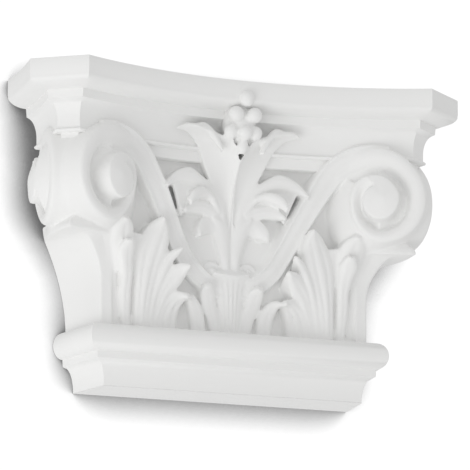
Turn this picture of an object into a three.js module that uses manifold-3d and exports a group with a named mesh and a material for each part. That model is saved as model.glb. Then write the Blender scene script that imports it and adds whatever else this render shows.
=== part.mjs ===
// A corinthian pilaster capital, one casting with a flat back.
// Millimetres, +Z up, the front faces -Y, the back lies on the wall.
import * as THREE from "three";
import { mergeVertices } from "three/addons/utils/BufferGeometryUtils.js";
import Module from "manifold-3d";

const wasm = await Module();
wasm.setup();

// Overall sizes. The depth is measured from the wall to the front corners of the abacus.
const WIDTH = 355;
const HEIGHT = 239;
const DEPTH = 101.7;

// Abacus, the moulded slab on top. Its front is hollow and its corners are cut off.
const CHAMFER_X = 36;
const CHAMFER_Y = 29.4;
const FRONT_SAG = 33;
const SIDE_RADIUS = 530;
const SIDE_MIDDLE_Y = 27;
const FASCIA_H = 13;
const OVOLO_IN = 15;
const OVOLO_H = 8.4;
const FILLET_H = 7;
const CAVETTO_IN = 8.2;
const CAVETTO_H = 15.5;
const NECK_H = 5.5;
const BEAD_H = 3;
const BEAD_OUT = 1.8;
const LIP_H = 8.5;
const LIP_IN = 4;

// Base moulding, with ends that flare a little towards the wall.
const BASE_HALF = 106.4;
const BASE_HALF_AT_WALL = 113.7;
const BASE_DEPTH = 44.4;
const BASE_CAVETTO_H = 19;
const BASE_CAVETTO_OUT = 6.5;
const BASE_FILLET_OUT = 8.6;
const BASE_FILLET_H = 6.2;
const TORUS_OUT = 16.2;
const TORUS_H = 20.5;
const BODY_OUT = 3.4;

// Bell, the plain core behind the leaves.
const BELL_IN = 5.4;
const BELL_FRONT = 33;
const BELL_LIP_IN = 7;
const BELL_FLARE = 24;
const ROOT_DEPTH = 5;
const TIP_THICK = 4;

// Volutes. The eye is where the spiral ends, on a face that is turned towards the middle.
const EYE_X = 112.7;
const EYE_Y = 72.3;
const EYE_Z = 154.4;
const FACE_TURN = THREE.MathUtils.degToRad(27.3);
const VOLUTE_THICK = 46;
const COIL_RISE = 12;
const GROOVE_DEPTH = 9.5;
const SUNK_START = 3;
const SLOPE_OUT = 28;
const SIDE_EYE_X = 151;
const SIDE_EYE_Y = 36;
const SIDE_TURN = THREE.MathUtils.degToRad(10);

// Radius of the outer edge of the scroll, by turns clockwise from the top of the right-hand volute.
const SCROLL = [
  [-0.16, 51],
  [-0.05, 43.5],
  [0, 41.6],
  [0.11, 36],
  [0.24, 33.6],
  [0.44, 33],
  [0.52, 33.4],
  [0.63, 29],
  [0.72, 26],
  [0.86, 23.9],
  [0.95, 19.7],
  [1.04, 15.8],
  [1.12, 13.2],
  [1.33, 13.3],
  [1.52, 17],
  [1.62, 17],
  [1.72, 15.6],
  [1.82, 13.6],
  [1.92, 10.5],
];
const SCROLL_STEPS = 18;

// Corner leaves. The tip is the point of the lip below the volutes.
const TIP_X = 143;
const TIP_Y = 67;
const TIP_Z = 114.5;
const LIP_THICK = 4.8;
const HORN_HOLLOW = 4;

// Cup, stems and snails in the middle of the front.
const CUP_Z = 92;
const CUP_HALF = 13;
const STEM_WIDTH = 16;
const STEM_SLOPE = 7;
const STEM_WIDTH_AT_VOLUTE = 21;
const SNAIL_R = 7.5;

const ABACUS_H =
  FASCIA_H + OVOLO_H + FILLET_H + CAVETTO_H + NECK_H + BEAD_H;
const BASE_H = BASE_CAVETTO_H + BASE_FILLET_H + TORUS_H;
const BELL_TOP = HEIGHT - ABACUS_H;
const HALF = WIDTH / 2;

const v3 = (x, y, z) => new THREE.Vector3(x, y, z);
const lerp = THREE.MathUtils.lerp;

// Turns a closed mesh into a solid, with its faces pointing outwards.
function solidFrom(geometry) {
  const bare = geometry.clone();
  bare.deleteAttribute("normal");
  bare.deleteAttribute("uv");
  const merged = mergeVertices(bare, 1e-4);
  const p = merged.getAttribute("position").array;
  const tris = [];
  let volume = 0;
  for (let i = 0; i < merged.index.count; i += 3) {
    const [a, b, c] = [0, 1, 2].map((k) => merged.index.getX(i + k));
    if (a === b || b === c || a === c) continue;
    tris.push(a, b, c);
    const [pa, pb, pc] = [a, b, c].map((k) => v3().fromArray(p, 3 * k));
    volume += pa.dot(pb.cross(pc));
  }
  if (volume < 0) tris.reverse();
  const vertProperties = new Float32Array(p);
  const triVerts = new Uint32Array(tris);
  return new wasm.Manifold(new wasm.Mesh({ numProp: 3, vertProperties, triVerts }));
}

// Joins rings of equal length into a closed skin. An end is a flat outline or a ladder of rungs
// between the first half of the ring and the second.
function ringSolid(rings, flatEnds = false) {
  const n = rings[0].length;
  const index = [];
  for (let i = 0; i + 1 < rings.length; i++) {
    for (let j = 0; j < n; j++) {
      const a = i * n + j;
      const b = i * n + ((j + 1) % n);
      index.push(a, b, b + n, a, b + n, a + n);
    }
  }
  const ends = [
    [0, rings[0], true],
    [(rings.length - 1) * n, rings[rings.length - 1], false],
  ];
  for (const [start, ring, first] of ends) {
    const add = (a, b, c) => index.push(start + a, start + (first ? c : b), start + (first ? b : c));
    if (flatEnds) {
      const flat = ring.map((p) => new THREE.Vector2(p.x, p.y));
      const turned = THREE.ShapeUtils.isClockWise(flat);
      for (const [a, b, c] of THREE.ShapeUtils.triangulateShape(flat, [])) {
        if (turned === THREE.ShapeUtils.isClockWise([flat[a], flat[b], flat[c]])) add(a, b, c);
        else add(a, c, b);
      }
    } else {
      for (let j = 0; j < n / 2 - 1; j++) {
        add(j, j + 1, n - 2 - j);
        add(j, n - 2 - j, n - 1 - j);
      }
    }
  }
  const geometry = new THREE.BufferGeometry();
  geometry.setAttribute(
    "position",
    new THREE.Float32BufferAttribute(rings.flat().flatMap((p) => [p.x, p.y, p.z]), 3),
  );
  geometry.setIndex(index);
  return solidFrom(geometry);
}

// Shares across a blade, with how far its end runs on there.
const PLAIN_TOP = [[0, 0], [0.25, 0], [0.5, 0], [0.75, 0], [1, 0]];

const mirrorX = (solid) => solid.mirror([1, 0, 0]);

// Smooth value between the listed ones.
function smooth(list, at) {
  const curve = new THREE.CatmullRomCurve3(list.map(([t, r]) => v3(t, r, 0)), false, "centripetal");
  let i = 0;
  while (i < list.length - 2 && at > list[i + 1][0]) i++;
  const share = THREE.MathUtils.clamp((at - list[i][0]) / (list[i + 1][0] - list[i][0]), 0, 1);
  return curve.getPoint((i + share) / (list.length - 1)).y;
}

// Where a line from p along d meets a circle, on the side nearer to p.
function lineOnCircle(centre, radius, p, d) {
  const f = p.clone().sub(centre);
  const a = d.dot(d);
  const b = f.dot(d);
  const root = Math.sqrt(b * b - a * (f.dot(f) - radius * radius));
  const t = [(-b - root) / a, (-b + root) / a].sort((s, u) => Math.abs(s) - Math.abs(u))[0];
  return p.clone().addScaledVector(d, t);
}

// Outline of the abacus seen from above, moved inwards, from the right end at the wall
// round the front to the left end at the wall.
function abacusPlan(inset, arcSteps = 14, sideSteps = 3) {
  const cornerX = HALF - CHAMFER_X;
  const radius = (cornerX ** 2 + FRONT_SAG ** 2) / (2 * FRONT_SAG) + inset;
  const front = new THREE.Vector2(0, -DEPTH + FRONT_SAG - radius + inset);
  const along = new THREE.Vector2(CHAMFER_X, CHAMFER_Y).normalize();
  const start = new THREE.Vector2(cornerX - inset * along.y, -DEPTH + inset * along.x);
  const frontEnd = lineOnCircle(front, radius, start, along);
  const sideReach = Math.sqrt(SIDE_RADIUS ** 2 - (SIDE_MIDDLE_Y + DEPTH - CHAMFER_Y) ** 2);
  const side = new THREE.Vector2(HALF + sideReach, SIDE_MIDDLE_Y);
  const sideRadius = SIDE_RADIUS + inset;
  const sideStart = new THREE.Vector2(
    HALF - inset * along.y,
    -DEPTH + CHAMFER_Y + inset * along.x,
  );
  const sideEnd = lineOnCircle(side, sideRadius, sideStart, along);
  const right = [];
  for (let i = 0; i < sideSteps; i++) {
    const y = lerp(0, sideEnd.y, i / sideSteps);
    right.push([side.x - Math.sqrt(sideRadius ** 2 - (y - side.y) ** 2), y]);
  }
  right.push([sideEnd.x, sideEnd.y]);
  const sweep = Math.asin(frontEnd.x / radius);
  for (let i = 0; i < arcSteps / 2; i++) {
    const a = sweep * (1 - (2 * i) / arcSteps);
    right.push([radius * Math.sin(a), front.y + radius * Math.cos(a)]);
  }
  const left = right.map(([x, y]) => [-x, y]).reverse();
  return [...right, [0, front.y + radius], ...left];
}

const level = (plan, z) => plan.map(([x, y]) => v3(x, y, z));

// Depth below the top and distance inwards along the edge of the abacus.
function abacusProfile() {
  const list = [
    [0, 0],
    [FASCIA_H, 0],
  ];
  for (let i = 1; i <= 3; i++) {
    const a = (Math.PI / 2) * (i / 3);
    list.push([FASCIA_H + OVOLO_H * Math.sin(a), OVOLO_IN * (1 - Math.cos(a))]);
  }
  const filletEnd = FASCIA_H + OVOLO_H + FILLET_H;
  list.push([filletEnd, OVOLO_IN + 0.5]);
  for (let i = 1; i <= 3; i++) {
    const a = (Math.PI / 2) * (i / 3);
    list.push([
      filletEnd + CAVETTO_H * (1 - Math.cos(a)),
      OVOLO_IN + 0.5 + CAVETTO_IN * Math.sin(a),
    ]);
  }
  const neckIn = OVOLO_IN + 0.5 + CAVETTO_IN;
  const beadTop = filletEnd + CAVETTO_H + NECK_H;
  list.push([beadTop, neckIn]);
  list.push([beadTop + 0.4, neckIn - BEAD_OUT]);
  list.push([beadTop + BEAD_H, neckIn - BEAD_OUT]);
  return list;
}

function abacus() {
  const rings = abacusProfile().map(([down, inset]) => level(abacusPlan(inset), HEIGHT - down));
  return ringSolid(rings, true);
}

// Height above the bottom and distance outwards along the base moulding.
function baseProfile() {
  const list = [[0, 0]];
  for (let i = 1; i <= 4; i++) {
    const a = (Math.PI / 2) * (i / 4);
    list.push([BASE_CAVETTO_H * Math.sin(a), BASE_CAVETTO_OUT * (1 - Math.cos(a))]);
  }
  list.push([BASE_CAVETTO_H + 0.8, BASE_FILLET_OUT - 0.6]);
  list.push([BASE_CAVETTO_H + BASE_FILLET_H, BASE_FILLET_OUT]);
  const middle = BASE_H - TORUS_H / 2;
  const span = TORUS_OUT - BASE_FILLET_OUT;
  for (let i = 1; i <= 6; i++) {
    const a = Math.PI * (i / 7 - 0.5);
    list.push([middle + (TORUS_H / 2) * Math.sin(a), BASE_FILLET_OUT + span * Math.cos(a)]);
  }
  list.push([BASE_H - 1, BODY_OUT + 3]);
  list.push([BASE_H, BODY_OUT]);
  return list;
}

function basePlan(out) {
  const front = -(BASE_DEPTH + out);
  return [
    [BASE_HALF_AT_WALL + out, 0],
    [BASE_HALF + out, front],
    [-BASE_HALF - out, front],
    [-BASE_HALF_AT_WALL - out, 0],
  ];
}

function base() {
  return ringSolid(baseProfile().map(([z, out]) => level(basePlan(out), z)), true);
}

// The core: flat and shallow below, following the hollow of the abacus above.
function bell() {
  const shares = [-1, -0.75, -0.5, -0.25, 0, 0.25, 0.5, 0.75, 1].reverse();
  const neck = abacusPlan(OVOLO_IN + CAVETTO_IN + LIP_IN + BELL_LIP_IN);
  const topFront = -neck[(neck.length - 1) / 2][1];
  const topBow = 15;
  const ring = (z, grow) => {
    const half = BASE_HALF - BELL_IN + 8 * grow;
    const wallHalf = BASE_HALF - BELL_IN + 9 + BELL_FLARE * Math.sqrt(grow);
    const plan = [[wallHalf, 0]];
    for (const s of shares) {
      plan.push([half * s, -lerp(BELL_FRONT + 3 * s * s, topFront + topBow * s * s, grow)]);
    }
    plan.push([-wallHalf, 0]);
    return level(plan, z);
  };
  const heights = [0, 0.35, 0.65, 0.85, 1];
  const rings = heights.map((h) => ring(lerp(BASE_H - 3, BELL_TOP + 2, h), h ** 2.2));
  const lip = abacusPlan(OVOLO_IN + CAVETTO_IN + LIP_IN, 12, 2);
  const lipRings = [level(lip, BELL_TOP - LIP_H), level(lip, BELL_TOP + 1)];
  return ringSolid(rings, true).add(ringSolid(lipRings, true));
}

// Maps a volute's own axes to the capital: across the face, up, and out of the face.
function faceFrame(x, y, turn, flip) {
  const across = flip ? v3(Math.sin(turn), -Math.cos(turn), 0) : v3(Math.cos(turn), -Math.sin(turn), 0);
  const out = flip ? v3(Math.cos(turn), Math.sin(turn), 0) : v3(-Math.sin(turn), -Math.cos(turn), 0);
  return (u, w, h) =>
    v3(x, -y, EYE_Z)
      .addScaledVector(across, u)
      .addScaledVector(out, h)
      .add(v3(0, 0, w));
}

const frontFace = faceFrame(EYE_X, EYE_Y, FACE_TURN, false);
const sideFace = faceFrame(SIDE_EYE_X, SIDE_EYE_Y, SIDE_TURN, true);

const edgeHeight = (turn) => {
  const share = THREE.MathUtils.clamp((turn - 0.45) / 0.75, 0, 1);
  return COIL_RISE * share * share * (3 - 2 * share);
};

// A point of the scroll: turns from the start, and share of the way across the band.
function scrollPoint(step, share) {
  const turn = SCROLL[0][0] + step / SCROLL_STEPS;
  const outer = smooth(SCROLL, turn);
  const angle = 2 * Math.PI * turn;
  const last = SCROLL[SCROLL.length - 1][0];
  const inner = turn + 1 > last ? outer * 0.5 : smooth(SCROLL, turn + 1);
  const start = 1 - THREE.MathUtils.smoothstep(turn, SCROLL[0][0], SCROLL[0][0] + 0.16);
  const rise = edgeHeight(turn) - SUNK_START * start;
  const flat = 1 - THREE.MathUtils.smoothstep(turn, 0.75, last - 1);
  const fade = flat * (1 - 0.7 * THREE.MathUtils.smoothstep(turn, 0.35, 0.8));
  const groove = rise - GROOVE_DEPTH * fade * THREE.MathUtils.smoothstep(turn, -0.2, 0.25);
  const radius = lerp(outer, inner, share);
  return [radius * Math.sin(angle), radius * Math.cos(angle), share > 0.7 ? groove : rise];
}

// One volute: a spiral skin over a drum. Each band of the scroll is sewn to the next turn.
function volute(place) {
  const last = SCROLL[SCROLL.length - 1][0];
  const steps = Math.floor((last - SCROLL[0][0]) * SCROLL_STEPS);
  const shares = [0, 0.5, 0.76, 0.95];
  const points = [];
  const at = new Map();
  const id = (i, j) => {
    if (j === shares.length) return id(i + SCROLL_STEPS, 0);
    const key = `${i},${j}`;
    if (!at.has(key)) {
      at.set(key, points.length);
      points.push(place(...scrollPoint(i, shares[j])));
    }
    return at.get(key);
  };
  const index = [];
  const quad = (a, b, c, d) => index.push(a, b, c, a, c, d);
  const bands = steps - SCROLL_STEPS;
  for (let i = 0; i < bands; i++) {
    for (let j = 0; j < shares.length; j++) {
      quad(id(i, j), id(i, j + 1), id(i + 1, j + 1), id(i + 1, j));
    }
  }
  // The eye closes the last turn.
  const rim = [];
  for (let i = bands; i < steps; i++) rim.push(id(i, 0));
  const seam = [];
  for (let j = shares.length; j >= 0; j--) seam.push(id(bands, j));
  const centre = points.length;
  points.push(place(0, 0, COIL_RISE));
  const loop = [...rim, ...seam.slice(0, -1)];
  for (let k = 0; k < loop.length; k++) index.push(centre, loop[(k + 1) % loop.length], loop[k]);
  // The wall round the outside, with a slope on the inner side of the volute.
  const edge = [];
  for (let i = 0; i <= SCROLL_STEPS; i++) edge.push(id(i, 0));
  for (let j = shares.length - 1; j > 0; j--) edge.push(id(0, j));
  const hub = points.length;
  points.push(place(0, 0, -VOLUTE_THICK));
  let upper = edge;
  for (const down of [0.5, 1]) {
    const lower = edge.map((_, k) => {
      const onArc = k <= SCROLL_STEPS;
      const [u, w] = onArc
        ? scrollPoint(k, 0)
        : scrollPoint(0, shares[shares.length - (k - SCROLL_STEPS)]);
      const turn = SCROLL[0][0] + k / SCROLL_STEPS;
      const flare = onArc ? SLOPE_OUT * THREE.MathUtils.smoothstep(turn, 0.46, 0.66) : 0;
      const grow = 1 + flare / Math.hypot(u, w);
      points.push(place(u * grow, w * grow, -VOLUTE_THICK * down));
      return points.length - 1;
    });
    for (let k = 0; k < edge.length; k++) {
      const m = (k + 1) % edge.length;
      quad(upper[k], upper[m], lower[m], lower[k]);
    }
    upper = lower;
  }
  for (let k = 0; k < edge.length; k++) index.push(hub, upper[k], upper[(k + 1) % edge.length]);
  const geometry = new THREE.BufferGeometry();
  geometry.setAttribute(
    "position",
    new THREE.Float32BufferAttribute(points.flatMap((p) => [p.x, p.y, p.z]), 3),
  );
  geometry.setIndex(index);
  return solidFrom(geometry);
}

// The hollow edge between the two volutes of a corner.
function horn() {
  const hub = frontFace(0, 0, -VOLUTE_THICK).lerp(sideFace(0, 0, -VOLUTE_THICK), 0.5);
  const rings = [];
  for (const turn of [0, 0.1, 0.2, 0.3, 0.4, 0.5]) {
    const [u, w] = scrollPoint((turn - SCROLL[0][0]) * SCROLL_STEPS, 0);
    const front = frontFace(u, w, -1);
    const side = sideFace(u, w, -1);
    const arc = [0, 0.25, 0.5, 0.75, 1].map((t) => {
      const p = front.clone().lerp(side, t);
      const heart = v3(hub.x, hub.y, p.z);
      const inwards = heart.sub(p).normalize();
      return p.addScaledVector(inwards, 4 * HORN_HOLLOW * t * (1 - t));
    });
    const inner = [1, 0.5, 0].map((t) => {
      const p = arc[4 * t].clone();
      return v3(hub.x, hub.y, EYE_Z).lerp(p, 0.3);
    });
    rings.push([...arc, ...inner]);
  }
  return ringSolid(rings);
}

// The plain leaf that wraps the corner. Each ring is level: front end, corner, wall, inside.
function cornerLeaf() {
  const foot = [BASE_HALF + BODY_OUT, BASE_DEPTH + BODY_OUT - 0.8];
  const rise = TIP_Z - BASE_H;
  // Share of the height, and share of the way from the foot of the corner to the tip of the lip.
  const levels = [
    [-0.1, 0],
    [0.45, 0],
    [0.65, 0.05],
    [0.77, 0.15],
    [0.87, 0.27],
    [0.945, 0.4],
    [0.985, 0.55],
    [0.998, 0.78],
    [1, 1],
  ];
  const rings = levels.map(([up, lean]) => leafRing(foot, BASE_H + up * rise, lean, up));
  rings.push(leafRing(foot, TIP_Z + LIP_THICK, 0.97, 1.04));
  rings.push(leafRing(foot, TIP_Z + LIP_THICK + 7, 0.75, 1.07));
  return ringSolid(rings, true);
}

function leafRing(foot, z, lean, up) {
  const corner = v3(lerp(foot[0], TIP_X, lean), -lerp(foot[1], TIP_Y, lean), z);
  const front = v3(foot[0] - 9, -lerp(foot[1], foot[1] + 5, lean), z);
  const wall = v3(foot[0] + 10.5 + 17 * Math.max(0, up) ** 1.8, 0, z);
  const arc = (a, b, bow, list) => {
    const across = b.clone().sub(a);
    const out = v3(across.y, -across.x, 0).normalize();
    return list.map((t) => a.clone().lerp(b, t).addScaledVector(out, -bow * Math.sin(Math.PI * t)));
  };
  const a = arc(front, corner, lerp(0.3, -3, lean), [0, 0.35, 0.7]);
  const b = arc(corner, wall, lerp(0.6, -5, lean), [0, 0.12, 0.4, 0.7, 1]);
  return [...a, ...b, v3(foot[0] - 25, 0, z), v3(foot[0] - 20, -20, z)].reverse();
}

// A leaf, lobe or stalk, led by a spine over the bell. Each row of the spine is: share of the half
// width of the base, share of the height of the bell, height over the bell, half width.
function lobe({ rows, crown = 2, groove = 0, hangFrom = 0.8 }) {
  const steps = rows.length;
  const spine = new THREE.CatmullRomCurve3(rows.map(onBell), false, "catmullrom", 0.5);
  const halves = rows.map((row) => v3(row[3], 0, 0));
  const widths = new THREE.CatmullRomCurve3(halves, false, "catmullrom", 0.5);
  const rings = [];
  let across = null;
  for (let i = 0; i <= steps; i++) {
    const t = i / steps;
    const p = spine.getPoint(t);
    const half = Math.max(0.6, widths.getPoint(t).x);
    const along = spine.getPoint(Math.min(t + 0.01, 1)).sub(spine.getPoint(Math.max(t - 0.01, 0)));
    along.normalize();
    across = across ?? along.clone().cross(v3(0, -1, 0));
    across = across.clone().addScaledVector(along, -across.dot(along)).normalize();
    const face = across.clone().cross(along).normalize();
    const front = [
      [-1, 0],
      [-0.75, 0.44 * crown],
      [0, crown - groove],
      [0.75, 0.44 * crown],
      [1, 0],
    ].map(([v, lift]) => p.clone().addScaledVector(across, v * half).addScaledVector(face, lift));
    const hang = THREE.MathUtils.smoothstep(t, hangFrom, 1);
    const back = [1, 0, -1].map((v) => {
      const rooted = p.clone().addScaledVector(across, v * (half + 1)).setY(-BELL_FRONT + ROOT_DEPTH);
      const free = p.clone().addScaledVector(across, 0.85 * v * half).addScaledVector(face, -TIP_THICK);
      return rooted.lerp(free, hang);
    });
    rings.push([...front, ...back]);
  }
  return ringSolid(rings);
}

// A thin leaf between two edges. Each row is a point of the first edge and a point of the second,
// each written as: share of the half width of the base, share of the height of the bell, height over
// the bell. The list top says how far the end runs on, across the leaf.
function blade({ rows, belly = 2, top = PLAIN_TOP, hangFrom = 0.75 }) {
  const steps = rows.length - 1;
  const edges = [0, 3].map((k) => {
    const points = rows.map((row) => onBell(row.slice(k, k + 3)));
    return new THREE.CatmullRomCurve3(points, false, "catmullrom", 0.5);
  });
  const rings = [];
  for (let i = 0; i <= steps; i++) {
    const t = i / steps;
    const [first, second] = edges.map((edge) => edge.getPoint(t));
    const along = v3();
    for (const edge of edges) {
      along.add(edge.getPoint(Math.min(t + 0.01, 1))).sub(edge.getPoint(Math.max(t - 0.01, 0)));
    }
    along.normalize();
    const across = second.clone().sub(first);
    const face = along.clone().cross(across).normalize();
    face.multiplyScalar(-Math.sign(face.y));
    const at = (v, runsOn, lift) => {
      const p = first.clone().addScaledVector(across, v);
      return p.addScaledVector(along, runsOn * t ** 4).addScaledVector(face, lift);
    };
    const arch = (v) => belly * 4 * v * (1 - v);
    const front = top.map(([v, runsOn]) => at(v, runsOn, arch(v)));
    const hang = THREE.MathUtils.smoothstep(t, hangFrom, 1);
    const last = top.length - 1;
    const behind = belly < 0 ? [last, Math.floor(last / 2), 0] : [last, 0];
    const back = behind.map((k) => {
      const [v, runsOn] = top[k];
      const rooted = at(v, 0, 0).setY(-BELL_FRONT + ROOT_DEPTH);
      const free = at(lerp(0.5, v, 0.85), runsOn, arch(v) - TIP_THICK);
      return rooted.lerp(free, hang);
    });
    rings.push([...front, ...back]);
  }
  return ringSolid(rings);
}

// The channelled stem that rises from the cup in the middle and becomes the volute.
function stem() {
  const ends = [0, 0.06, 0.12, 0.18].map((turns) => {
    const [u, w] = scrollPoint(turns * SCROLL_STEPS, 0);
    const [inU, inW] = scrollPoint(turns * SCROLL_STEPS, 0.6);
    return frontFace((u + inU) / 2, (w + inW) / 2, -0.8 - 16 * turns);
  });
  const join = ends[0];
  const path = new THREE.CatmullRomCurve3([
    v3(CUP_HALF - 6, -BELL_FRONT - 4, CUP_Z - 8),
    v3(CUP_HALF + 3, -BELL_FRONT - 5, CUP_Z - 9),
    v3(BASE_HALF * 0.31, -BELL_FRONT - 6, lerp(CUP_Z, join.z, 0.05)),
    v3(BASE_HALF * 0.405, -BELL_FRONT - 7, lerp(CUP_Z, join.z, 0.23)),
    v3(BASE_HALF * 0.5, -BELL_FRONT - 11, lerp(CUP_Z, join.z, 0.46)),
    v3(BASE_HALF * 0.6, -BELL_FRONT - 16, lerp(CUP_Z, join.z, 0.7)),
    v3(join.x - 7, join.y + 3, join.z - 9),
    ...ends,
  ]);
  const rings = [];
  const steps = 12;
  const profile = [
    [-1, -0.6],
    [-0.8, 1.1],
    [0, 0],
    [0.8, 1.1],
    [1, -0.6],
  ];
  for (let i = 0; i <= steps; i++) {
    const t = i / steps;
    const p = path.getPoint(t);
    const along = path.getTangent(t);
    const across = along.clone().cross(v3(0, -1, 0)).normalize();
    const face = across.clone().cross(along).normalize();
    const half = lerp(STEM_WIDTH, STEM_WIDTH_AT_VOLUTE, THREE.MathUtils.smoothstep(t, 0.3, 0.8)) / 2;
    const front = profile.map(([v, h]) =>
      p.clone().addScaledVector(across, v * half).addScaledVector(face, h),
    );
    const outer = STEM_SLOPE * THREE.MathUtils.smoothstep(t, 0.4, 0.7);
    const back = [half + outer, 0, outer - STEM_SLOPE - half].map((far) =>
      p.clone().addScaledVector(across, 0.96 * far).setY(-BELL_FRONT + ROOT_DEPTH),
    );
    rings.push([...front, ...back]);
  }
  return ringSolid(rings);
}

// A ball, squashed or stretched, as a bud or berry. It is placed by its distance behind the front
// of the abacus and below its top.
function bud(x, behind, below, radius, tall = 1) {
  const ball = new THREE.SphereGeometry(radius, 7, 5);
  ball.rotateX(Math.PI / 2);
  ball.scale(1, 1, tall);
  ball.translate(x, FRONT_SAG - DEPTH + behind, HEIGHT - below);
  return solidFrom(ball);
}

// A small snail between the stem and the middle stalk.
function snail(x, z) {
  const profile = [
    [0, -8],
    [1, -8],
    [1, 0],
    [0.82, 1.2],
    [0.64, 0],
    [0.42, 0.2],
    [0.3, 1.8],
    [0, 2.2],
  ].map(([r, h]) => new THREE.Vector2(r * SNAIL_R, h));
  const disc = new THREE.LatheGeometry(profile, 8);
  disc.rotateX(Math.PI);
  disc.rotateX(-Math.PI / 2);
  disc.rotateX(Math.PI);
  disc.translate(x, -BELL_FRONT - 2, z);
  return solidFrom(disc);
}

const onBell = ([x, z, above]) =>
  v3(x * BASE_HALF, -BELL_FRONT - above, lerp(BASE_H, BELL_TOP, z));

// The leaves of the right half, as rows of lobe() or blade().
const FAN = [
  // main blade
  {
    rows: [
      [0.78, -0.05, 10, 0.66, -0.05, 10],
      [0.78, 0.07, 12, 0.66, 0.03, 12],
      [0.775, 0.236, 14, 0.64, 0.165, 14],
      [0.77, 0.396, 15, 0.58, 0.303, 15],
      [0.73, 0.5, 16, 0.53, 0.434, 17],
      [0.66, 0.575, 18, 0.525, 0.52, 18],
      [0.59, 0.61, 21, 0.565, 0.6, 21],
    ],
    belly: 3,
  },
  // the two blades below its inner edge
  {
    rows: [
      [0.7, -0.05, 9, 0.62, -0.05, 9],
      [0.69, 0.06, 11, 0.62, 0.04, 11],
      [0.65, 0.21, 13, 0.6, 0.15, 12.5],
      [0.59, 0.33, 16, 0.555, 0.26, 15],
      [0.52, 0.42, 18, 0.5, 0.355, 17],
      [0.44, 0.45, 22, 0.43, 0.435, 22],
    ],
    belly: 2.5,
  },
  {
    rows: [
      [0.65, -0.05, 8, 0.58, -0.05, 8],
      [0.64, 0.07, 10, 0.575, 0.05, 10],
      [0.61, 0.18, 12, 0.545, 0.12, 11],
      [0.57, 0.28, 15, 0.495, 0.19, 13],
      [0.515, 0.335, 17, 0.44, 0.235, 15],
      [0.455, 0.36, 20, 0.4, 0.29, 18],
      [0.385, 0.355, 24, 0.375, 0.34, 23],
    ],
    belly: 2.5,
  },
  // curled blade against the corner leaf
  {
    rows: [
      [0.86, -0.05, 11, 0.79, -0.05, 11],
      [0.875, 0.06, 12, 0.8, 0.05, 12],
      [0.89, 0.17, 14, 0.8, 0.17, 14],
      [0.885, 0.27, 17, 0.795, 0.28, 16],
      [0.905, 0.345, 20, 0.8, 0.365, 18],
      [0.925, 0.41, 24, 0.8, 0.42, 22],
      [0.89, 0.455, 28, 0.83, 0.46, 28],
    ],
  },
  // upper curl, up to the foot of the volute
  {
    rows: [
      [0.93, 0.3, 14, 0.79, 0.3, 14],
      [0.96, 0.4, 18, 0.79, 0.42, 16],
      [0.98, 0.48, 23, 0.8, 0.5, 20],
      [0.97, 0.54, 28, 0.83, 0.55, 25],
      [0.92, 0.57, 31, 0.88, 0.575, 30],
    ],
    belly: 2.5,
  },
  // facet beside the corner leaf
  {
    rows: [
      [1.01, -0.05, 8, 0.88, -0.05, 9],
      [1.03, 0.24, 11, 0.905, 0.24, 12],
      [1.07, 0.42, 16, 0.93, 0.42, 17],
      [1.09, 0.54, 25, 0.96, 0.55, 26],
    ],
    belly: 1,
    hangFrom: 1.1,
  },
  // ground under the blades
  {
    rows: [
      [0.99, -0.05, 7, 0.58, -0.05, 6],
      [0.98, 0.2, 9, 0.52, 0.17, 9],
      [0.96, 0.42, 13, 0.475, 0.34, 13],
      [0.9, 0.53, 17, 0.53, 0.48, 14],
    ],
    belly: 1,
    hangFrom: 1.1,
  },
];

const LOW_LEAF = [
  // outer half, then inner half, of a hood over a dark niche
  {
    rows: [
      [0.66, -0.05, 9, 0.43, -0.05, 6],
      [0.66, 0.07, 10, 0.425, 0.04, 7],
      [0.62, 0.145, 11, 0.415, 0.1, 8],
      [0.55, 0.195, 12, 0.4, 0.14, 10],
      [0.46, 0.215, 14, 0.38, 0.165, 13],
      [0.375, 0.195, 18, 0.365, 0.175, 17],
    ],
    belly: 2.5,
    hangFrom: 0.6,
  },
  {
    rows: [
      [0.2, -0.05, 5, 0.31, -0.05, 5],
      [0.2, 0.06, 6, 0.315, 0.04, 6],
      [0.225, 0.135, 7, 0.325, 0.1, 7],
      [0.27, 0.185, 9, 0.34, 0.14, 9],
      [0.32, 0.205, 12, 0.35, 0.165, 12],
      [0.37, 0.19, 16, 0.365, 0.17, 16],
    ],
    hangFrom: 0.6,
  },
];

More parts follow.
